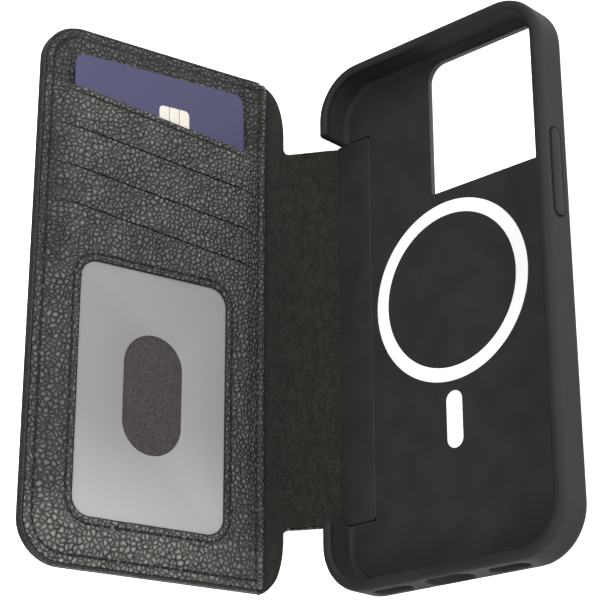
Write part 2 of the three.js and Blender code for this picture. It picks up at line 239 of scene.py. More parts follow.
def finished(obj, material, crease=40):
    """Links obj if it isn't yet, shades it smooth below the crease angle and gives it its material."""
    if obj.name not in bpy.context.collection.objects:
        bpy.context.collection.objects.link(obj)
    obj.data.shade_smooth()
    obj.data.set_sharp_from_angle(angle=math.radians(crease))
    obj.data.materials.clear()
    obj.data.materials.append(material)
    return obj


def enrolled(piece, body, node=None):
    if node is not None:
        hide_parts(node)
    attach(piece, body)


def with_modifier(obj, kind, **settings):
    modifier = obj.modifiers.new(kind.title(), kind)
    for key, value in settings.items():
        setattr(modifier, key, value)


def with_bevel(obj, width, segments):
    """Rounds the edges that turn by more than 50 degrees."""
    with_modifier(
        obj, "BEVEL", width=width * MM, segments=segments, limit_method="ANGLE", angle_limit=math.radians(50)
    )


def settled(obj):
    """Applies every modifier of obj."""
    depsgraph = bpy.context.evaluated_depsgraph_get()
    mesh = bpy.data.meshes.new_from_object(obj.evaluated_get(depsgraph))
    obj.modifiers.clear()
    obj.data = mesh


def cut_away(obj, *tools):
    for tool in tools:
        with_modifier(obj, "BOOLEAN", object=tool, operation="DIFFERENCE", solver="EXACT")
    settled(obj)
    for tool in tools:
        bpy.data.objects.remove(tool)


def ring_faces(count, rings, wrap=False, caps=(True, True)):
    """Quads between successive rings of count points each, and the caps asked for at the ends."""
    faces = []
    for ring in range(rings if wrap else rings - 1):
        here, after = ring * count, ((ring + 1) % rings) * count
        for point in range(count):
            beside = (point + 1) % count
            faces.append((here + point, here + beside, after + beside, after + point))
    if caps[0] and not wrap:
        faces.append(tuple(range(count)))
    if caps[1] and not wrap:
        faces.append(tuple(range(rings * count - 1, (rings - 1) * count - 1, -1)))
    return faces


def loft(name, rings, material, place=None, caps=(True, True), wrap=False, crease=40):
    """A skin through closed rings of equal count, capped at the ends asked for."""
    faces = ring_faces(len(rings[0]), len(rings), wrap, caps)
    return build(name, np.vstack(rings), faces, material, place, crease)


def arc(centre, radius, start, stop, steps):
    turns = np.radians(np.linspace(start, stop, steps + 1))
    return np.column_stack((centre[0] + radius * np.cos(turns), centre[1] + radius * np.sin(turns)))


def rounded_box(left, low, right, high, corners, steps=12):
    """A closed outline, its corners rounded in the order low-left, low-right, high-right, high-left."""
    radii = np.maximum(np.broadcast_to(corners, 4), 0.01)
    across = (left + radii[0], right - radii[1], right - radii[2], left + radii[3])
    along = (low + radii[0], low + radii[1], high - radii[2], high - radii[3])
    starts = (180, 270, 360, 450)
    quarters = zip(zip(across, along), radii, starts)
    return np.vstack([arc(centre, radius, start, start + 90, steps) for centre, radius, start in quarters])


def inset_box(box, corners, inset, steps=12):
    left, low, right, high = box
    shrunk = [max(corner - inset, 0.05) for corner in corners]
    return rounded_box(left + inset, low + inset, right - inset, high - inset, shrunk, steps)


def box_distance(x, y, box, corners):
    """Distance inside a rounded box, negative outside."""
    left, low, right, high = box
    mid_x, mid_y = (left + right) / 2, (low + high) / 2
    on_left = np.where(y < mid_y, corners[0], corners[3])
    on_right = np.where(y < mid_y, corners[1], corners[2])
    radius = np.where(x < mid_x, on_left, on_right)
    across = np.abs(x - mid_x) - (right - left) / 2 + radius
    along = np.abs(y - mid_y) - (high - low) / 2 + radius
    outside = np.hypot(np.maximum(across, 0), np.maximum(along, 0))
    return radius - outside - np.minimum(np.maximum(across, along), 0)


def rounded_path(corners, steps=6):
    """A closed outline whose corners, given as (x, y, radius), are rounded by arcs."""
    points = []
    for number, (x, y, radius) in enumerate(corners):
        here = np.array((x, y), float)
        before, after = (np.array(corners[k % len(corners)][:2], float) for k in (number - 1, number + 1))
        if radius == 0:
            points.append(here)
            continue
        back, on = ((side - here) / np.linalg.norm(side - here) for side in (before, after))
        half = math.acos(np.clip(back @ on, -1, 1)) / 2
        reach = radius / math.tan(half)
        centre = here + (back + on) / np.linalg.norm(back + on) * radius / math.sin(half)
        start, stop = here + back * reach - centre, here + on * reach - centre
        sweep = math.pi - 2 * half
        turns = np.linspace(0, sweep, steps + 1)[:, None]
        points += list(centre + (np.sin(sweep - turns) * start + np.sin(turns) * stop) / math.sin(sweep))
    return np.array(points)


def at_height(outline, z):
    return np.column_stack((outline, np.full(len(outline), z)))


def edge_round(low, high, radius, steps=4):
    """[inset, height] pairs that run up the side of a plate with rounded rims."""
    turns = np.linspace(0, math.pi / 2, steps + 1)
    below = [(radius * (1 - math.sin(t)), low + radius * (1 - math.cos(t))) for t in turns]
    return below + [(inset, low + high - z) for inset, z in reversed(below)]


def plate(name, box, corners, low, high, radius, material, place=None, steps=12):
    """A flat plate with a rounded outline and rounded rims."""
    levels = edge_round(low, high, radius)
    rings = [at_height(inset_box(box, corners, inset, steps), z) for inset, z in levels]
    return loft(name, rings, material, place)


def prism(name, outline, low, high, material, place=None):
    return loft(name, [at_height(outline, low), at_height(outline, high)], material, place, crease=30)


def distances_along(path):
    """How far along a path each of its points lies."""
    return np.concatenate(([0], np.cumsum(np.linalg.norm(np.diff(path, axis=0), axis=1))))


def places_along(path, travelled, stops):
    """X and Y at the distances stops along a path."""
    return [np.interp(stops, travelled, path[:, axis]) for axis in (0, 1)]


def tube(path, radius, sides=8, taper=0.6):
    """The rings of a tube along a path, with tapered ends."""
    along = np.gradient(path, axis=0)
    along /= np.linalg.norm(along, axis=1)[:, None]
    up = np.array([0.0, 0.0, 1.0])
    turns = np.linspace(0, 2 * math.pi, sides, endpoint=False)
    rings = []
    for number, (point, direction) in enumerate(zip(path, along)):
        side = np.cross(direction, up)
        side /= np.linalg.norm(side)
        rise = np.cross(side, direction)
        size = radius * (taper if number in (0, len(path) - 1) else 1)
        rings.append(point + size * (np.outer(np.cos(turns), side) + np.outer(np.sin(turns), rise)))
    return rings


def smoothstep(value):
    share = np.clip(value, 0, 1)
    return share * share * (3 - 2 * share)


def hump(value, width):
    return np.exp(-((value / width) ** 2))


def swell(distance, size):
    height, width = size
    return height * hump(distance, width)


# ---- Materials ----
class Nodes:
    """A short way to write a node tree."""

    def __init__(self, name):
        self.material = bpy.data.materials.new(name)
        self.material.use_nodes = True
        self.tree = self.material.node_tree
        self.shader = next(node for node in self.tree.nodes if node.type == "BSDF_PRINCIPLED")
        self.place = self.node("ShaderNodeTexCoord").outputs["Object"]

    def node(self, kind, inputs=None, **settings):
        made = self.tree.nodes.new(kind)
        for key, value in settings.items():
            setattr(made, key, value)
        for key, value in (inputs or {}).items():
            self.set(made.inputs[key], value)
        return made

    def set(self, socket, value):
        if isinstance(value, bpy.types.NodeSocket):
            self.tree.links.new(value, socket)
        else:
            socket.default_value = value

    def shade(self, colour, roughness, relief=None, depth=0.0, **others):
        """Sets the shader's inputs. relief is a height that bumps the surface by up to depth."""
        inputs = {"Base Color": colour, "Roughness": roughness, **others}
        if relief is not None:
            bump = self.node("ShaderNodeBump", {"Height": relief, "Distance": depth * MM})
            inputs["Normal"] = bump.outputs["Normal"]
        for key, value in inputs.items():
            self.set(self.shader.inputs[key.replace("_", " ")], value)
        return self.material

    def per_mm(self, stretch=(1, 1, 1), turn=(0, 0, 0), move=(0, 0, 0)):
        scale = [value / MM for value in stretch]
        inputs = {"Vector": self.place, "Scale": scale, "Rotation": turn, "Location": move}
        return self.node("ShaderNodeMapping", inputs).outputs["Vector"]

    def noise(self, size, detail=2.0, roughness=0.5, vector=None):
        inputs = {
            "Vector": vector or self.per_mm(), "Scale": 1 / size, "Detail": detail, "Roughness": roughness,
        }
        return self.node("ShaderNodeTexNoise", inputs).outputs["Fac"]

    def cells(self, size, vector, dimensions, feature="DISTANCE_TO_EDGE"):
        inputs = {"Vector": vector, "Scale": 1 / size}
        settings = {"feature": feature, "voronoi_dimensions": dimensions}
        return self.node("ShaderNodeTexVoronoi", inputs, **settings).outputs

    def split(self, vector):
        made = self.node("ShaderNodeSeparateXYZ", {"Vector": vector})
        return made.outputs["X"], made.outputs["Y"]

    def math(self, operation, *values, kind="ShaderNodeMath"):
        values = (*values, 0.0, 0.0)[:3] if kind == "ShaderNodeMath" else values
        return self.node(kind, dict(enumerate(values)), operation=operation).outputs[0]

    def vector_math(self, operation, *values):
        return self.math(operation, *values, kind="ShaderNodeVectorMath")

    def times(self, first, second):
        return self.math("MULTIPLY", first, second)

    def minus(self, first, second):
        return self.math("SUBTRACT", first, second)

    def scaled(self, value, scale, base):
        """value * scale + base"""
        return self.math("MULTIPLY_ADD", value, scale, base)

    def away(self, value, middle):
        return self.math("ABSOLUTE", self.minus(value, middle))

    def inset(self, x, y, box, corner):
        """Distance inside a rounded box, negative outside."""
        left, low, right, high = box
        beyond = [
            self.minus(self.away(value, (start + stop) / 2), (stop - start) / 2 - corner)
            for value, start, stop in ((x, left, right), (y, low, high))
        ]
        outer = [self.math("MAXIMUM", value, 0.0) for value in beyond]
        squares = [self.times(value, value) for value in outer]
        radial = self.math("SQRT", self.math("ADD", *squares))
        within = self.math("MINIMUM", self.math("MAXIMUM", *beyond), 0.0)
        return self.minus(self.minus(corner, radial), within)

    def span(self, value, low, high, start=0.0, stop=1.0):
        """Runs smoothly from start to stop while value runs from low to high."""
        inputs = {"Value": value, "From Min": low, "From Max": high, "To Min": start, "To Max": stop}
        made = self.node("ShaderNodeMapRange", inputs, interpolation_type="SMOOTHSTEP")
        return made.outputs["Result"]

    def mix(self, share, first, second):
        made = self.node("ShaderNodeMix", data_type="RGBA")
        self.set(made.inputs["Factor"], share)
        for socket, colour in ((made.inputs[6], first), (made.inputs[7], second)):
            self.set(socket, colour if isinstance(colour, bpy.types.NodeSocket) else (*colour, 1))
        return made.outputs[2]

    def shades(self, share, tone, darkest, palest):
        """The tone between its darkest and its palest shade."""
        return self.mix(share, [value * darkest for value in tone], [value * palest for value in tone])

    def wave(self, axis, **inputs):
        inputs["Vector"] = self.per_mm()
        return self.node("ShaderNodeTexWave", inputs, bands_direction=axis).outputs["Fac"]


# The grain's share between its darkest and palest shade, before any painted sheen or shade.
BASE_GRAIN_SHARE = 0.29


def leather(
    name, painted_crease_shade, grain_tone, cell=1.36, depth=0.90, roughness=(0.9, 0.30), specular=0.22,
    dimensions="2D", shaded_grooves=None, painted_light=None,
):
    """Tumbled leather: domed, rounded pebbles with painted paler tops between creases painted dark as shade.

    Random patches of it get painted sheen. Of the two functions it may be given, the first says how deep
    lines are pressed into it and darkens them with painted shade, the second how much painted sheen and
    painted shade it gets.
    """
    kit = Nodes(name)
    place = kit.per_mm(turn=(0, -math.radians(COVER_ANGLE), 0), move=FROM_COVER.translation)
    warp = kit.node("ShaderNodeTexNoise", {"Vector": place, "Scale": 0.45, "Detail": 3.0}).outputs["Color"]
    shift = kit.vector_math("SUBTRACT", warp, (0.5, 0.5, 0.5))
    warped = kit.vector_math("MULTIPLY_ADD", shift, (1.5, 1.5, 1.5), place)

    edge = kit.cells(cell, warped, dimensions)["Distance"]
    pebble = kit.cells(cell, warped, dimensions, "F1")
    rounded = kit.span(pebble["Distance"], 0.30, 0.80, 1.0, 0.42)
    dome = kit.times(kit.math("POWER", kit.span(edge, 0.0, 0.40), 0.75), rounded)
    wrinkle = kit.span(kit.cells(cell * 0.45, warped, dimensions)["Distance"], 0.0, 0.22)
    fold = kit.span(kit.noise(5.0, 3.0, 0.55, warped), 0.35, 0.65)
    fine = kit.noise(0.22, 3.0, 0.6, place)
    height = dome
    for relief, amount in ((wrinkle, 0.13), (fine, 0.10), (fold, 0.35)):
        height = kit.scaled(relief, amount, height)

    # Painted shade and highlight: creases and pebble rims darken towards the crease tone, pebble tops paint
    # paler.
    crease_width = kit.span(kit.noise(6.0, 2.0, 0.5, warped), 0.35, 0.65, 0.10, 0.20)
    slope = kit.times(kit.span(edge, 0.0, 0.42), 0.45)
    open_grain = kit.times(kit.scaled(kit.span(edge, 0.0, crease_width), 0.55, slope), rounded)
    # The painted crease shade fades in random patches.
    faint = kit.times(kit.span(kit.noise(3.2, 2.0, 0.5, place), 0.42, 0.66), 0.28)
    open_grain = kit.math("MAXIMUM", open_grain, faint)
    if shaded_grooves is not None:
        pressed = shaded_grooves(kit, place)
        height = kit.scaled(pressed, -1.2, height)
        # Painted shade: the pressed lines darken towards the crease tone.
        open_grain = kit.times(open_grain, kit.span(pressed, 0.0, 0.8, 1.0, 0.0))
    # Painted sheen: random patches are painted paler.
    sheen_patch = kit.span(kit.noise(8.0, 3.0, 0.6, place), 0.38, 0.62)
    sheen_and_shade = kit.scaled(sheen_patch, 0.10, BASE_GRAIN_SHARE if painted_light is None else painted_light(kit, place))
    grain = kit.shades(kit.scaled(pebble["Color"], 0.20, sheen_and_shade), grain_tone, 0.20, 2.10)
    colour = kit.mix(open_grain, painted_crease_shade, grain)
    gloss = kit.span(open_grain, 0.0, 1.0, *roughness)
    return kit.shade(colour, gloss, height, depth, Specular_IOR_Level=specular)


def slanted(kit, x, y):
    """Height along the slits' slant."""
    return kit.scaled(kit.minus(x, SLANT_X), SLOPE, y)


def panel_shaded_grooves(kit, place):
    """How deep the slits, hem crease and stitch lines press into the wallet leather; this also paints shade
    in them.
    """
    x, y = kit.split(place)
    slant = slanted(kit, x, y)
    lines = [(line, 0.20, 0.38, 1.0) for line in SLIT_Y]
    lines.append((SLIT_Y[0] - HEM_CREASE, 0.30, 0.30, 0.95))
    deepest = None
    for line, below, above, weight in lines:
        past = kit.minus(slant, line)
        valley = kit.times(kit.span(past, -below, 0.0), kit.span(past, 0.0, above, 1.0, 0.0))
        pressed = kit.times(valley, weight)
        deepest = pressed if deepest is None else kit.math("MAXIMUM", deepest, pressed)
    start, stop = SLIT_ENDS
    mouth = kit.times(kit.span(x, start - 2.2, start - 0.4), kit.span(x, stop + 0.6, stop + 2.2, 1.0, 0.0))
    deepest = kit.times(deepest, mouth)

    # The panel has no edge of its own at the fold, so its box runs on there and is cut off straight.
    left, low, right, high = PANEL_BOX
    inside = kit.inset(x, y, (left, low, right + 60, high), PANEL_CORNER)
    inside = kit.math("MINIMUM", inside, kit.minus(right, x))
    window = kit.inset(x, y, WINDOW_BOX, WINDOW_CORNER)
    seams = [(inside, STITCH_LINE, STITCH_GROOVE), (window, -WINDOW_STITCH_LINE, STITCH_GROOVE)]
    # The window's edge gets a groove of its own, which paints a dark shadow line round the film.
    for distance, line, weight in (*seams, (window, 0.0, 0.8)):
        groove = kit.span(kit.away(distance, line), 0.10, 0.50, weight, 0.0)
        deepest = kit.math("MAXIMUM", deepest, groove)
    return deepest


def panel_painted_light(kit, place):
    """Painted sheen and shade on the wallet leather: paler at its foot, darker along its top and upper left
    margin.
    """
    x, y = kit.split(place)
    left, low, right, _ = PANEL_BOX
    foot = kit.times(kit.span(y, low + 5, low + 22, 1.0, 0.0), kit.span(x, right - 34, right - 6, 1.0, 0.25))
    middle = kit.times(kit.span(y, 2.0, 18.0), kit.span(kit.noise(16.0, 2.0, 0.5, place), 0.35, 0.65))
    top = kit.span(slanted(kit, x, y), SLIT_Y[0] - 1.0, SLIT_Y[0] + 5.0)
    side = kit.times(kit.span(x, left + 5, left + 11, 1.0, 0.0), kit.span(y, -6.0, 8.0))
    # foot and middle are painted sheen, top and side are painted shade.
    sheen_and_shade = BASE_GRAIN_SHARE
    for zone, amount in ((foot, 0.74), (middle, 0.12), (top, -0.36), (side, -0.20)):
        sheen_and_shade = kit.scaled(zone, amount, sheen_and_shade)
    return kit.math("MAXIMUM", sheen_and_shade, 0.0)


def moulded(name, tone, roughness, grain=0.35, depth=0.02, spread=0.12, specular=0.3):
    """Moulded plastic or rubber with a fine spark-eroded grain and a faint cloudiness."""
    kit = Nodes(name)
    cloud = kit.span(kit.noise(9.0, 3.0), 0.3, 0.7)
    speck = kit.noise(grain, 2.0, 0.6)
    colour = kit.shades(kit.scaled(speck, 0.35, kit.times(cloud, 0.65)), tone, 1 - spread, 1 + spread)
    gloss = kit.span(cloud, 0.0, 1.0, roughness - 0.04, roughness + 0.05)
    return kit.shade(colour, gloss, speck, depth, Specular_IOR_Level=specular)


def cloth(name, tone, nap=0.5, depth=0.07, sheen=0.07, brush=0.4):
    """Short-napped microfibre: mottled fibre ends with a soft sheen."""
    kit = Nodes(name)
    nap_height = kit.noise(nap, 3.0, 0.7)
    brushed = kit.noise(1.6, 3.0, 0.6, kit.per_mm((1, 0.45, 1)))
    pile = kit.scaled(nap_height, 1.2 - brush, kit.times(brushed, brush))
    colour = kit.shades(kit.span(pile, 0.40, 0.80), tone, 0.25, 1.8)
    sheens = {"Sheen Weight": sheen, "Sheen Roughness": 0.5}
    return kit.shade(colour, 0.93, pile, depth, Specular_IOR_Level=0.1, **sheens)


def woven(name, tone, yarn):
    """Plain board cloth: two sets of crossing yarns."""
    kit = Nodes(name)
    along, across = (kit.wave(axis, Scale=1 / (yarn * 6.0), Distortion=0.6, Detail=1.0) for axis in "YZ")
    weave = kit.scaled(along, 0.5, kit.times(across, 0.5))
    return kit.shade(kit.shades(weave, tone, 0.55, 1.3), 0.9, weave, 0.05, Sheen_Weight=0.15)


def thread(name, tone):
    """Bonded sewing thread, twisted round itself."""
    kit = Nodes(name)
    twist = kit.wave("DIAGONAL", Scale=0.9, Distortion=1.5)
    return kit.shade(kit.shades(twist, tone, 0.6, 1.4), 0.6, twist, 0.05, Specular_IOR_Level=0.12)


def frosted_film(name, grey, pale):
    """Frosted window film: faint drawn streaks along the sheet, a soft cloud, and a painted reflection paler
    towards its foot.
    """
    kit = Nodes(name)
    streak = kit.noise(1.4, 3.0, 0.6, kit.per_mm((1, 0.03, 1)))
    cloud = kit.noise(26.0, 2.0)
    share = kit.scaled(streak, 0.35, kit.times(cloud, 0.65))
    # Painted reflection: the colour turns paler from the film's middle down to its foot.
    foot, middle = FILM_LOW[1] * MM, (FILM_LOW[1] + FILM_HIGH[1]) / 2 * MM
    _, y = kit.split(kit.place)
    share = kit.scaled(kit.span(y, middle, foot), 0.85, kit.times(share, 0.30))
    gloss = kit.span(streak, 0.2, 0.8, 0.56, 0.66)
    return kit.shade(kit.mix(share, grey, pale), gloss, streak, 0.01, Specular_IOR_Level=0.1)


def metal(name, tone, roughness):
    """Brushed metal."""
    kit = Nodes(name)
    brushed = kit.noise(0.3, 3.0, 0.6, kit.per_mm((1, 0.08, 1)))
    gloss = kit.span(brushed, 0.2, 0.8, roughness - 0.05, roughness + 0.08)
    return kit.shade(kit.shades(brushed, tone, 0.85, 1), gloss, brushed, 0.004, Metallic=1.0)


def card_plastic(name, tone):
    """Printed card plastic with a satin face."""
    kit = Nodes(name)
    speck = kit.noise(0.12, 2.0)
    share = kit.scaled(speck, 0.3, kit.times(kit.noise(14.0, 3.0, 0.6), 0.7))
    gloss = kit.span(speck, 0.2, 0.8, 0.50, 0.58)
    return kit.shade(kit.shades(share, tone, 0.86, 1.12), gloss, speck, 0.003, Specular_IOR_Level=0.2)


# Each pair gives the painted shade in the creases, then the grain's own tone.
LEATHER_TONES = ((0.0010, 0.0010, 0.0009), (0.0485, 0.0473, 0.0440))
RIM_TONES = ((0.002, 0.002, 0.0019), (0.010, 0.0098, 0.0092))
OUTER_LEATHER = leather("outer_leather", *LEATHER_TONES)
WALLET_LEATHER = leather("wallet_leather", *LEATHER_TONES, shaded_grooves=panel_shaded_grooves, painted_light=panel_painted_light)
RIM_LEATHER = leather("rim_leather", *RIM_TONES, 0.9, 0.12, (0.8, 0.5), 0.2, "3D")
LINING = cloth("microfibre_lining", (0.0042, 0.0046, 0.0033), 0.6)
POCKET = cloth("pocket_fabric", (0.0162, 0.0140, 0.0133), 0.35, 0.06, 0.10, 0.1)
THREAD = thread("black_thread", (0.0028, 0.0028, 0.0027))
BUMPER = moulded("bumper_rubber", (0.0092, 0.0090, 0.0081), 0.65, specular=0.06)
SHELL = moulded("tray_shell", (0.0066, 0.0073, 0.0069), 0.5, 0.3, 0.012, 0.06, 0.18)
WHITE = moulded("ring_white", (0.44, 0.445, 0.445), 0.42, 0.4, 0.008, 0.015)
FILM = frosted_film("window_film", (0.092, 0.090, 0.091), (0.143, 0.140, 0.140))
STEEL = metal("magnet_metal", (0.55, 0.55, 0.56), 0.32)
COATED_STEEL = moulded("coated_steel", (0.012, 0.012, 0.0115), 0.6, 0.25, 0.01, specular=0.1)
CARD = card_plastic("card_plastic", (0.0145, 0.0145, 0.040))
CONTACT = moulded("contact_pad", (0.26, 0.243, 0.215), 0.4, 0.3, 0.004, 0.03)
BOARD = woven("stiffener_board", (0.018, 0.016, 0.014), 0.6)


# ---- Tray ----
def tray_wall():
    """The bumper's section as (distance in from the outer face, height) swept round the tray."""
    top = TRAY_HIGH[2]
    lip = WALL + LIP
    outside = [(0, 0, 1.2), (0, top, 1.5)]
    overhang = [(lip, top - 0.25, 0.7), (lip, top - 1.3, 0.35), (WALL, top - 2.0, 0.5)]
    section = rounded_path([*outside, *overhang, (WALL, FLOOR, 0.5), (LEDGE, FLOOR, 0), (LEDGE, 0, 0)])
    box = (*TRAY_LOW[:2], *TRAY_HIGH[:2])
    columns = [inset_box(box, [TRAY_CORNER] * 4, inset, steps=20) for inset, _ in section]
    stations = [
        np.array([(*column[station], z) for column, (_, z) in zip(columns, section)])
        for station in range(len(columns[0]))
    ]
    return loft("bumper", stations, BUMPER, wrap=True)


def capsule(width, height):
    round_end = min(width, height) / 2 - 0.001
    return rounded_box(-width / 2, -height / 2, width / 2, height / 2, round_end)


def end_opening(x, width, height, flare):
    """A capsule hole through the low-end wall that opens out towards the outside."""
    rings = []
    for depth, grow in ((-2, flare + 1.2), (0, flare), (1.3, 0.15), (1.6, 0), (LEDGE + 2, 0)):
        outline = capsule(width + 2 * grow, height + 1.1 * grow)
        y = np.full(len(outline), TRAY_LOW[1] + depth)
        rings.append(np.column_stack((x + outline[:, 0], y, OPENING_MIDDLE + outline[:, 1])))
    return loft("end_opening", rings, BUMPER)


def side_capsule(name, grow, rings_at):
    """A capsule lying on the high-X wall where the power key is, through (X, extra growth) rings."""
    _, middle_y, middle_z = (BUTTON_HIGH + BUTTON_LOW) / 2
    _, length, width = BUTTON_HIGH - BUTTON_LOW - 2 * KEY_FLANGE
    rings = []
    for x, more in rings_at:
        outline = capsule(length + 2 * (grow + more), width + 2 * (grow + more))
        level = np.full(len(outline), x)
        rings.append(np.column_stack((level, middle_y + outline[:, 0], middle_z + outline[:, 1])))
    return loft(name, rings, BUMPER)


def bumper():
    """The soft wall with its hinge gap, its openings and the power key's slot."""
    outer = TRAY_HIGH[0]
    wall = tray_wall()
    low, high = FLANGE_LOW[1] - HINGE_GAP, FLANGE_HIGH[1] + HINGE_GAP
    gap = rounded_box(-60, low, LEDGE + 0.3 - outer, high, 0.3, 3)
    slot = [(outer - 6, 0), (outer - 0.5, 0), (outer + 0.1, 0.3), (outer + 2, 1)]
    room = [(outer - 6, 0), (outer - WALL + 1.45, 0)]
    cut_away(
        wall,
        loft("hinge_gap", [at_height(gap, z) for z in (RAIL_HEIGHT, 20)], BUMPER),
        *(end_opening(*opening) for opening in OPENINGS),
        side_capsule("button_slot", KEY_GAP, slot),
        side_capsule("button_room", KEY_GAP + KEY_ROOM, room),
    )
    with_modifier(wall, "REMESH", mode="VOXEL", voxel_size=WALL_VOXEL * MM, use_smooth_shade=True)
    with_modifier(wall, "SMOOTH", factor=0.5, iterations=5)
    settled(wall)
    finished(wall, BUMPER, 180)
    enrolled(wall, "tray", "bumper_frame")


def power_key():
    """The key: a flange inside the wall, a neck and a softly crowned face that stands proud."""
    outer, face = TRAY_HIGH[0], BUTTON_HIGH[0]
    flange = [(outer - 1.9, 0.5), (outer - 1.34, 0.5)]
    neck = [(outer - 1.30, 0), (face - 0.35, 0)]
    crown = [(face - 0.12, -0.1), (face, -0.35), (face + 0.03, -1.2)]
    key = side_capsule("power_key", 0, flange + neck + crown)
    enrolled(key, "side_button", "power_button")


def back_shell():
    """The tray's floor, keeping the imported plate's windows and recesses, with softened rims."""
    shell = bpy.data.objects.new("back_shell", NODES["back_plate"].data.copy())
    finished(shell, SHELL, 30)
    with_bevel(shell, 0.12, 3)
    settled(shell)
    finished(shell, SHELL, 30)
    enrolled(shell, "tray", "back_plate")


def hinge_plate():
    """The smooth plate that fixes the spine to the tray's floor."""
    box = (*FLANGE_LOW[:2], *FLANGE_HIGH[:2])
    flange = plate("hinge_plate", box, [0.3, 1.5, 1.5, 0.3], FLANGE_LOW[2], FLANGE_HIGH[2], 0.14, SHELL)
    enrolled(flange, "tray", "hinge_flange")


def ring_cover():
    """The white film over the ring magnets, its two rims chamfered."""
    points = node_points("magnet_ring_cover")
    (_, _, low), (outer, _, high) = extent(points)
    inner = np.linalg.norm(points[:, :2], axis=1).min()
    turns = np.linspace(0, 2 * math.pi, 192, endpoint=False)
    around = np.column_stack((np.cos(turns), np.sin(turns)))
    rim = 0.12
    chamfer = [(0, rim), (rim * 0.3, rim * 0.3), (rim, 0)]
    section = [(inner, low), *((inner + across, high - down) for across, down in chamfer)]
    section += [*((outer - across, high - down) for across, down in reversed(chamfer)), (outer, low)]
    ring = loft("ring_cover", [at_height(around * radius, z) for radius, z in section], WHITE, wrap=True)
    enrolled(ring, "tray", "magnet_ring_cover")


def strip_cover():
    low, high = extent(node_points("magnet_strip_cover"))
    corners = [(high[0] - low[0]) / 2] * 4
    strip = plate("strip_cover", (*low[:2], *high[:2]), corners, low[2], high[2], 0.1, WHITE, steps=20)
    enrolled(strip, "tray", "magnet_strip_cover")


# ---- Skins that cross the folds ----
def along(turn):
    return np.array((-math.cos(turn), math.sin(turn)))


def inward(turn):
    return np.array((math.sin(turn), math.cos(turn)))


def fold_stations(distances):
    """For distances past the cover's fold, negative on the spine: (X, Z) and the inner side's direction."""
    spine_turn, cover_turn = math.radians(SPINE_ANGLE), math.radians(COVER_ANGLE)
    first, second = (np.array(transformed(place, [(0, 0, 0)])[0])[[0, 2]] for place in (SPINE, COVER))

    def bend(corner, start, stop, reach, offset):
        radius = reach / math.tan((stop - start) / 2)
        centre = corner - along(start) * reach + inward(start) * radius
        turn = start + (stop - start) * (offset + reach) / (2 * reach)
        return centre - inward(turn) * radius, turn

    stations = []
    for distance in distances:
        past_first = distance + SPINE_LENGTH
        if past_first < HINGE_REACH:
            point, turn = bend(first, 0.0, spine_turn, HINGE_REACH, past_first)
        elif distance < -FOLD_REACH:
            point, turn = second + along(spine_turn) * distance, spine_turn
        elif distance < FOLD_REACH:
            point, turn = bend(second, spine_turn, cover_turn, FOLD_REACH, distance)
        else:
            point, turn = second + along(cover_turn) * distance, cover_turn
        stations.append((point, inward(turn)))
    return stations


def round_drop(share):
    """How far a unit quarter circle has dropped at a share of its radius."""
    return 1 - math.sqrt(max(1 - share**2, 0))


def fold_sides(distance, inset):
    """The leather's low and high Y at a distance past the cover's fold."""
    sides = []
    across, corner_y = FREE_CORNER
    far = -COVER_LOW[0]
    start = FOLD_EDGE - FOLD_FILLET
    for spine_y, cover_y, out in ((SPINE_LOW[1], COVER_LOW[1], -1), (SPINE_HIGH[1], COVER_HIGH[1], 1)):
        if distance < start:
            y = spine_y
        elif distance < FOLD_EDGE:
            y = spine_y + out * FOLD_FILLET * round_drop((distance - start) / FOLD_FILLET)
        elif distance < FOLD_EDGE + across:
            y = cover_y - out * corner_y * round_drop((FOLD_EDGE + across - distance) / across)
        elif distance > far - COVER_CORNER:
            share = min((distance - far + COVER_CORNER) / COVER_CORNER, 1)
            y = cover_y - out * COVER_CORNER * round_drop(share)
        else:
            y = cover_y
        sides.append(y - out * inset)
    return sides


def skin(name, distances, heights, inset, material, caps=(False, False), rows=48):
    """A sheet along the folds. heights(distance) gives its lower and upper faces above the fold line."""
    rings = []
    last = distances[-1]
    turns = np.radians(np.linspace(90, 270, 7)[1:-1])
    for distance, (point, up) in zip(distances, fold_stations(distances)):
        low_y, high_y = fold_sides(distance, inset)
        bottom, top = heights(distance)
        half = (top - bottom) / 2
        if caps[1]:
            half *= math.sqrt(max(1 - max(distance - last + half, 0) ** 2 / half**2, 0.05))
        middle = (top + bottom) / 2
        straight = np.linspace(low_y + half, high_y - half, rows)
        loop = [(y, middle + half) for y in straight[::-1]]
        loop += [(low_y + half + half * math.cos(t), middle + half * math.sin(t)) for t in turns]
        loop += [(y, middle - half) for y in straight]
        loop += [(high_y - half - half * math.cos(t), middle - half * math.sin(t)) for t in turns]
        y, height = np.array(loop).T
        x, z = point[:, None] + up[:, None] * height
        rings.append(np.column_stack((x, y, z)))
    return loft(name, rings, material, caps=caps)


def seam_point(distance):
    (x, z), _ = fold_stations([distance])[0]
    return Vector((x * MM, 0, z * MM))


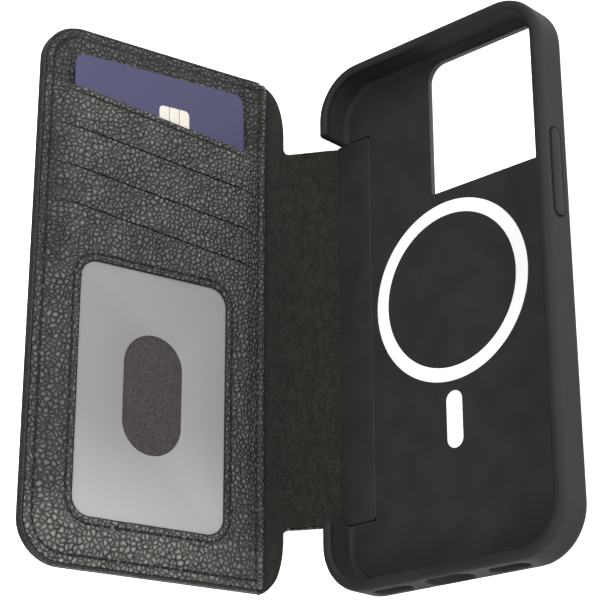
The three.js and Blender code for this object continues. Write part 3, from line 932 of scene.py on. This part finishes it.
def skins(prefix, heights, inset, material, stands_for):
    """The hinge, fold and cover stretches of one continuous sheet."""
    hinge_end = -SPINE_LENGTH - HINGE_REACH
    middle = -SPINE_LENGTH / 2
    cover_start = FOLD_REACH + 1
    corner = -COVER_LOW[0] - inset - COVER_CORNER

    stretch = np.r_[np.linspace(hinge_end, SPINE_RINGS[0], 12), np.linspace(SPINE_RINGS[1], middle, 6)]
    hinge = skin(prefix + "_hinge", stretch, heights, inset, material, (True, False))
    seam_point(hinge_end)
    seam_point(HINGE_REACH + 0.4 - SPINE_LENGTH)
    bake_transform(hinge)

    stretch = np.r_[
        np.linspace(middle, -FOLD_REACH, 5)[:-1],
        np.linspace(-FOLD_REACH, FOLD_EDGE - 0.02, 18),
        np.linspace(FOLD_EDGE + 0.02, cover_start, 16),
    ]
    fold = skin(prefix + "_fold", stretch, heights, inset, material)
    seam_point(-FOLD_REACH)
    seam_point(FOLD_REACH)
    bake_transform(fold)

    stretch = np.r_[
        np.linspace(cover_start, COVER_RINGS[0], 12),
        np.linspace(COVER_RINGS[1], corner, 8),
        corner + COVER_CORNER * np.sin(np.radians(np.linspace(6, 90, 22))),
    ]
    panel = skin(prefix + "_cover", stretch, heights, inset, material, (False, True))
    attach(panel, "cover")
    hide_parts("spine_" + stands_for)
    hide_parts("cover_" + stands_for)


def leather_heights(distance):
    return COVER_LOW[2], COVER_HIGH[2]


def lining_heights(distance):
    """The lining drops to the hinge plate at the tray and sinks a little into the fold."""
    step = smoothstep((distance + SPINE_LENGTH + HINGE_REACH) / LINING_STEP)
    rest = FLANGE_HIGH[2] - JOINTS["spine_fold"]["pos_m"][2] / MM
    drop = (1 - step) * (LINING_HIGH[2] - rest) + swell(distance, LINING_SAG)
    return LINING_LOW[2] - drop, LINING_HIGH[2] - drop


# ---- The wallet panel ----
def card_path(x, y):
    """1 where the card slides over the upper panel, fading to 0 beside it."""
    across = (x - CARD_MIDDLE[0]) * math.cos(CARD_LEAN) + (y - CARD_MIDDLE[1]) * math.sin(CARD_LEAN)
    beside = CARD_HALF + CARD_MARGIN - np.abs(across)
    return smoothstep(beside / CARD_FADE) * (y > SLIT_Y[0] - SLIT_SPACE)


def under_card(level, x, y, gap):
    """Lowers level where the card passes, so that it stays that gap under the card."""
    return level - np.maximum(level - (CARD_LOW[2] - gap), 0) * card_path(x, y)


def between_ends(x, left_run, right_run):
    """1 along a slit, falling to 0 at its ends over the given runs."""
    return smoothstep((x - SLIT_ENDS[0]) / left_run) * smoothstep((SLIT_ENDS[1] - x) / right_run)


def ripple(x, y):
    """The leather's slight unevenness, as two crossed and bent waves."""
    broad = np.sin(x / 3.1 + 1.3 * np.sin(y / 7.3)) * np.sin(y / 4.7 + 0.9 * np.sin(x / 5.9 + 2.0))
    narrow = np.sin(x / 1.7 + y / 2.9 + 2.1 * np.sin(y / 11.0)) * np.cos(y / 2.3 - x / 6.1)
    return 0.07 * broad + 0.05 * narrow


def panel_height(x, y, side=0):
    """The wallet leather's upper surface. side tells on which side of a slit its own points lie."""
    slant = y + SLOPE * (x - SLANT_X)
    mouth = between_ends(x, 6, 6)

    def past_slit(past):
        return np.where(np.abs(past) < TINY, side > 0, past > 0)

    above = slant - SLIT_Y[0]
    between = (MAIN_LEVEL + UPPER_LEVEL) / 2 - 0.1
    closed = MAIN_LEVEL + (between - MAIN_LEVEL) * smoothstep((above + 4) / 8)
    closed += (UPPER_LEVEL - between) * smoothstep((above - 4) / 14)
    lower = closed + (MAIN_LEVEL - closed) * mouth
    higher = closed + (UPPER_LEVEL - closed) * between_ends(x, 2.2, 3)
    is_above = past_slit(above)
    level = np.where(is_above, higher, lower)

    below_top = np.maximum(-above, 0)
    level -= swell(below_top - HEM_CREASE, HEM_DIP) * mouth * (above < 0)
    level -= swell(below_top, TOP_EDGE_DIP) * mouth * (above <= 0) * ~is_above
    for line in SLIT_Y[1:]:
        past = slant - line
        over = past_slit(past)
        sunk, raised = (height * np.exp(-np.abs(past) / run) for height, run in (SINK_ABOVE, STAND_BELOW))
        level += np.where(over, -sunk, raised) * mouth
        level -= swell(past, SLIT_DIP) * mouth * ~over
    for line in SLIT_Y:
        past = slant - line
        level -= 0.45 * hump(x - SLIT_ENDS[0] - 1.0, 2.6) * hump(past - 1.0, 4.0)
        level -= 0.30 * hump(x - SLIT_ENDS[1] + 0.5, 2.0) * hump(past - 0.5, 3.0)
    level += ripple(x, y)

    window = -box_distance(x, y, WINDOW_BOX, WINDOW_CORNERS)
    level += swell(window - 1.0, WINDOW_SWELL)
    level -= swell(window - WINDOW_STITCH_LINE, WINDOW_STITCH_DIP) + swell(window, WINDOW_EDGE_DIP)

    inside = box_distance(x, y, PANEL_BOX, PANEL_CORNERS)
    rim = EDGE_LEVEL + swell(inside - 1.1, RIM_SWELL)
    level = rim + (level - rim) * smoothstep((inside - STITCH_LINE - 0.3) / 4.6)
    level -= swell(inside - STITCH_LINE, STITCH_DIP) + swell(inside, RIM_DIP)
    level += CORNER_LIFT * smoothstep((x + 20) / 12) * smoothstep((y - 52) / 20)
    lowest = LINING_HIGH[2] + LAYER_GAP + LEATHER_THICKNESS
    kept = np.clip(level, lowest, CARD_LOW[2] - CARD_GAP)
    return level + (kept - level) * card_path(x, y) * is_above


def snapped(x, y, box, corners):
    """Moves grid points that lie close to an outline onto it."""
    step = 1e-3

    def slope(step_x, step_y):
        ahead = box_distance(x + step_x, y + step_y, box, corners)
        return (ahead - box_distance(x - step_x, y - step_y, box, corners)) / (2 * step)

    distance = box_distance(x, y, box, corners)
    slope_x, slope_y = slope(step, 0), slope(0, step)
    near = np.abs(distance) < 0.72 * GRID
    size = np.maximum(slope_x**2 + slope_y**2, TINY)
    return np.where(near, x - distance * slope_x / size, x), np.where(near, y - distance * slope_y / size, y)


def panel_rows():
    """Rows along the slits as (height on the slant, side). Each slit has two, one for each of its edges."""
    left, low, right, high = PANEL_BOX
    reach = SLOPE * (right - left) / 2 + 1
    stops = [low - reach, *reversed(SLIT_Y), high + reach]
    rows = []
    for start, stop in zip(stops, stops[1:]):
        count = max(int(round((stop - start) / GRID)), 1)
        values = np.linspace(start, stop, count + 1)
        rows += [(value, 1 if number == 0 and rows else -1) for number, value in enumerate(values)]
    return np.array(rows).T


def panel_faces(index, inside, slant):
    """Faces between the rows, cut down at the outline to the corners that lie inside it."""
    faces = []
    for row in range(len(slant) - 1):
        if slant[row + 1] - slant[row] < TINY:
            continue
        for column in range(index.shape[1] - 1):
            corners = [(row, column), (row, column + 1), (row + 1, column + 1), (row + 1, column)]
            kept = [index[corner] for corner in corners if inside[corner]]
            if len(kept) >= 3:
                faces.append(kept)
    return faces


def wallet_panel():
    """The pebbled face: a fine height field whose rows run along the slits, so that they open cleanly."""
    left, _, right, _ = PANEL_BOX
    slant, side = panel_rows()
    columns = np.linspace(left, right, int((right - left) / GRID) + 1)
    x, on_slant = np.meshgrid(columns, slant)
    sides = np.repeat(side[:, None], len(columns), axis=1)
    y = on_slant - SLOPE * (x - SLANT_X)
    on_slit = np.isin(np.round(on_slant, 6), np.round(SLIT_Y, 6)) & (x > SLIT_ENDS[0]) & (x < SLIT_ENDS[1])
    outlines = ((PANEL_BOX, PANEL_CORNERS), (WINDOW_BOX, WINDOW_CORNERS))
    for box, corners in outlines:
        moved_x, moved_y = snapped(x, y, box, corners)
        x, y = np.where(on_slit, x, moved_x), np.where(on_slit, y, moved_y)
    z = panel_height(x, y, sides)
    parted = np.where(sides > 0, SLIT_GAP[1], SLIT_GAP[0]) * between_ends(x, 5, 5)
    y = y + np.where(on_slit, parted, 0)

    in_panel, in_window = (box_distance(x, y, box, corners) for box, corners in outlines)
    inside = (in_panel > -0.02) & (in_window < 0.02)
    index = np.arange(x.size).reshape(x.shape)
    for row in range(1, len(slant)):
        if side[row] > 0 and abs(slant[row] - slant[row - 1]) < TINY:
            welded = ~on_slit[row]
            index[row][welded] = index[row - 1][welded]
    faces = panel_faces(index, inside, slant)
    used = np.unique(np.concatenate([np.array(face) for face in faces]))
    renumber = {old: new for new, old in enumerate(used)}
    points = np.column_stack((x.ravel(), y.ravel(), z.ravel()))[used]
    faces = [[renumber[corner] for corner in face] for face in faces]
    faces = [face for face in faces if area_of(points[face]) > SMALLEST_FACE]
    panel = build("wallet_panel", points, faces, WALLET_LEATHER, COVER)
    with_modifier(panel, "SOLIDIFY", thickness=LEATHER_THICKNESS * MM, offset=-1, use_even_offset=False)
    settled(panel)
    finished(panel, WALLET_LEATHER, 50)
    enrolled(panel, "cover", "wallet_face")


def area_of(corners):
    total = np.zeros(3)
    for number in range(1, len(corners) - 1):
        total += np.cross(corners[number] - corners[0], corners[number + 1] - corners[0])
    return np.linalg.norm(total) / 2


def upper_flap():
    """The leather behind the card, running down into the first pocket."""
    box = (SLIT_ENDS[0] + 0.8, SLIT_Y[0] - 22, SLIT_ENDS[1] - 1.2, SLIT_Y[0] - 2.0)
    low, high = LINING_HIGH[2] + 0.06, UPPER_LEVEL - 0.32
    flap = plate("upper_flap", box, [3, 3, 0.5, 0.5], low, high, 0.1, WALLET_LEATHER, COVER)
    enrolled(flap, "cover", "pocket_backing")


def panel_thread(x, y):
    """The middle of the panel's threads, which stay under the card's path."""
    return under_card(window_thread(x, y), x, y, THREAD_RADIUS + CLEARANCE)


def window_thread(x, y):
    return panel_height(x, y) + THREAD_LIFT


def outer_thread(x, y):
    return np.full_like(x, COVER_LOW[2] - LAYER_GAP)


def stitches(name, box, corners, inset, height, dip=THREAD_DIP):
    """Separate stitches along a rounded box, laid on the surface that height(x, y) gives."""
    outline = inset_box(box, corners, inset, 16)
    outline = np.vstack((outline, outline[:1]))
    travelled = distances_along(outline)
    count = int(round(travelled[-1] / STITCH_PITCH))
    pitch = travelled[-1] / count
    sink = dip * np.abs(np.linspace(-1, 1, 7)) ** 4
    points, faces = [], []
    for number in range(count):
        stops = np.minimum(number * pitch + np.linspace(0, STITCH_LENGTH, 7), travelled[-1])
        x, y = places_along(outline, travelled, stops)
        rings = tube(np.column_stack((x, y, height(x, y) - sink)), THREAD_RADIUS)
        base = len(points)
        points += list(np.vstack(rings))
        stitch = ring_faces(len(rings[0]), len(rings))
        faces += [tuple(base + corner for corner in face) for face in stitch]
    sewn = build(name, np.array(points), faces, THREAD, COVER, 60)
    enrolled(sewn, "cover")


def cover_rim():
    """The outer leather turned up round the wallet panel's three free sides."""
    left, low, right, high = COVER_LOW[0], COVER_LOW[1], PANEL_BOX[2] + 0.6, COVER_HIGH[1]
    middle = RIM_WIDTH / 2 - 0.02
    corner_steps = 24
    quarter = corner_steps + 1
    corners = [COVER_CORNER, 0.1, 0.1, COVER_CORNER]
    outline = inset_box((left, low, right, high), corners, middle, corner_steps)
    ends = [(right, high - middle)], [(right, low + middle)]
    path = np.vstack((ends[0], outline[3 * quarter:], outline[:quarter], ends[1]))
    travelled = distances_along(path)
    stops = np.linspace(0, travelled[-1], 220)
    x, y = places_along(path, travelled, stops)
    tangent = np.gradient(np.column_stack((x, y)), axis=0)
    tangent /= np.linalg.norm(tangent, axis=1)[:, None]
    from_end = np.minimum(stops, stops[-1] - stops)
    top = COVER_LOW[2] + 0.35 + (EDGE_LEVEL - 0.45 - COVER_LOW[2]) * smoothstep(from_end / 3)
    top = under_card(top, x, y, CARD_GAP)
    half = RIM_WIDTH / 2 - CLEARANCE
    foot = COVER_LOW[2] + 0.02
    rings = []
    for px, py, (tx, ty), peak in zip(x, y, tangent, top):
        corners = [(-half, foot, 0.3), (half, foot, 0.1), (half, peak, 0.38), (-half, peak, 0.4)]
        section = rounded_path(corners, 4)
        rings.append(np.array([(px - ty * across, py + tx * across, z) for across, z in section]))
    rim = loft("cover_rim", rings, RIM_LEATHER, COVER)
    enrolled(rim, "cover")


def window_film():
    """The frosted film with its thumb hole."""
    points = node_points("id_window_film", FROM_COVER)[:, :2]
    margin = WINDOW_HEM + 2
    within = (points > FILM_LOW[:2] + margin) & (points < FILM_HIGH[:2] - margin)
    (left, low), (right, high) = extent(points[within.all(axis=1)])
    box = (*(FILM_LOW[:2] + FILM_MARGIN), *(FILM_HIGH[:2] - FILM_MARGIN))
    film = plate("frosted_window", box, [4] * 4, FILM_LOW[2], FILM_HIGH[2], 0.02, FILM, COVER)
    hole = rounded_box(left, low, right, high, (right - left) / 2 - 0.01, 24)
    cut_away(film, prism("thumb", hole, 0, 9, FILM, COVER))
    with_bevel(film, 0.025, 2)
    settled(film)
    finished(film, FILM, 40)
    enrolled(film, "cover", "id_window_film")


def pocket_liners():
    """Cloth sheets that hang from the slits behind the leather."""
    left, right = SLIT_ENDS[0] + 2.5, SLIT_ENDS[1] - 2.0
    for number in (2, 3, 4):
        low, high = extent(node_points(f"pocket_liner_{number}", FROM_COVER))
        bottom = low[1] + 3
        radius = 4
        top_right, top_left = (
            (x, SLIT_Y[number - 1] - SLOPE * (x - SLANT_X) + POCKET_LIP) for x in (right, left)
        )
        outline = np.array([
            *arc((left + radius, bottom + radius), radius, 180, 270, 8),
            *arc((right - radius, bottom + radius), radius, 270, 360, 8),
            top_right,
            top_left,
        ])
        liner = prism(f"pocket_cloth_{number}", outline, low[2], high[2], POCKET, COVER)
        flat = area_of(at_height(outline, 0)) * MM * MM
        enrolled(liner, "cover", f"pocket_liner_{number}")


# ---- The card ----
def card():
    """A plain blue card with a contact pad of three plates."""
    middle = Matrix.Translation((CARD_MIDDLE[0], CARD_MIDDLE[1], 0))
    place = COVER @ middle @ Matrix.Rotation(CARD_LEAN, 4, "Z")
    into = place.inverted()
    (left, low, bottom), (right, high, top) = extent(node_points("card_body", into))
    box, radii = (left, low, right, high), [CARD_CORNER] * 4
    body = plate("wallet_card", box, radii, bottom, top, 0.12, CARD, place, 14)
    enrolled(body, "card", "card_body")

    (left, low, _), (right, high, _) = extent(node_points("card_contact_pad", into))
    third = (right - left) / 3
    pad_low, pad_high = top - 0.04, top + 0.03
    for number in range(3):
        start, stop = left + number * third, left + (number + 1) * third
        near, far = (PAD_CORNER if number == end else PAD_INNER_CORNER for end in (0, 2))
        box = (start + (PAD_GAP / 2 if number else 0), low, stop - (PAD_GAP / 2 if number < 2 else 0), high)
        radii = [near, far, far, near]
        name = f"contact_plate_{number + 1}"
        pad = plate(name, box, radii, pad_low, pad_high, 0.02, CONTACT, place, 8)
        enrolled(pad, "card", "card_contact_pad" if number == 1 else None)


# ---- Carried-over nodes ----
def plain_nodes():
    """Materials for the hard nodes that stay as they are: magnets, keepers and boards."""
    for name, node in NODES.items():
        for part, material in (("keeper", COATED_STEEL), ("magnet", STEEL), ("board", BOARD)):
            if part in name and not name.endswith("_cover"):
                node.data.materials.clear()
                node.data.materials.append(material)


# ---- Setting, in metres ----
CAMERA_PLACE = (0.28324, -0.17887, 0.36222)
CAMERA_TURNS = (20.907, 43.189, -0.211)
CAMERA_LENS = 110.8
FLOOR_HALF = 3.0
FLOOR_DROP = 0.0006
WORLD_STRENGTH = 0.30
# Name, place, what it points at, size and power.
LIGHTS = [
    ("key", (0.25, -0.75, 0.95), (-0.03, 0, 0.03), (0.7, 0.7), 16),
    ("side", (0.95, 0.18, 0.40), (-0.06, 0, 0.05), (0.45, 0.3), 18),
    ("top", (0.35, 0.1, 1.2), (-0.03, 0, 0.03), (0.8, 0.8), 11),
    ("back", (0.1, 0.85, 0.55), (-0.04, 0.03, 0), (0.6, 0.6), 8),
    ("front", (-0.45, -0.85, 0.55), (-0.03, -0.03, 0), (0.6, 0.6), 6),
]


def set_up(name, data, place, turns=(0, 0, 0)):
    """Places a part of the setting."""
    made = bpy.data.objects.new(name, data)
    made.location = place
    made.rotation_euler = turns
    bpy.context.collection.objects.link(made)
    return made


def camera():
    """The photo's camera."""
    data = bpy.data.cameras.new("camera")
    data.lens = CAMERA_LENS
    turns = [math.radians(turn) for turn in CAMERA_TURNS]
    bpy.context.scene.camera = set_up("camera", data, CAMERA_PLACE, turns)


def area_light(name, place, aim, size, power):
    data = bpy.data.lights.new(name, "AREA")
    data.shape = "RECTANGLE"
    data.size, data.size_y = size
    data.energy = power
    turns = (Vector(aim) - Vector(place)).to_track_quat("-Z", "Y").to_euler()
    set_up(name, data, place, turns)


def pale_floor():
    """A wide floor that glows a little, so that it stays as white as the photo's background."""
    kit = Nodes("pale_floor")
    tone = kit.mix(kit.noise(60.0, 2.0), (0.93, 0.93, 0.93), (0.96, 0.96, 0.96))
    kit.shade(tone, 0.8, Emission_Color=(1, 1, 1, 1), Emission_Strength=0.4)
    mesh = bpy.data.meshes.new("floor")
    corners = [(FLOOR_HALF * x, FLOOR_HALF * y, 0) for x, y in ((-1, -1), (1, -1), (1, 1), (-1, 1))]
    mesh.from_pydata(corners, [], [range(4)])
    mesh.materials.append(kit.material)
    floor = set_up("floor", mesh, (0, 0, -FLOOR_DROP))


def studio():
    world = bpy.data.worlds.new("studio")
    world.use_nodes = True
    background = world.node_tree.nodes["Background"]
    background.inputs["Color"].default_value = (1, 1, 1, 1)
    background.inputs["Strength"].default_value = WORLD_STRENGTH
    bpy.context.scene.world = world
    for light in LIGHTS:
        area_light(*light)
    bpy.context.scene.view_settings.view_transform = "Standard"


bumper()
power_key()
back_shell()
hinge_plate()
ring_cover()
strip_cover()
skins("leather", leather_heights, 0, OUTER_LEATHER, "leather")
skins("lining", lining_heights, LINING_INSET, LINING, "lining")
cover_rim()
wallet_panel()
upper_flap()
stitches("panel_stitching", PANEL_BOX, PANEL_CORNERS, STITCH_LINE, panel_thread)
stitches("window_stitching", WINDOW_BOX, WINDOW_CORNERS, -WINDOW_STITCH_LINE, window_thread)
stitches("outer_stitching", PANEL_BOX, PANEL_CORNERS, STITCH_LINE, outer_thread, -THREAD_DIP)
pocket_liners()
window_film()
card()
plain_nodes()
camera()
pale_floor()
studio()
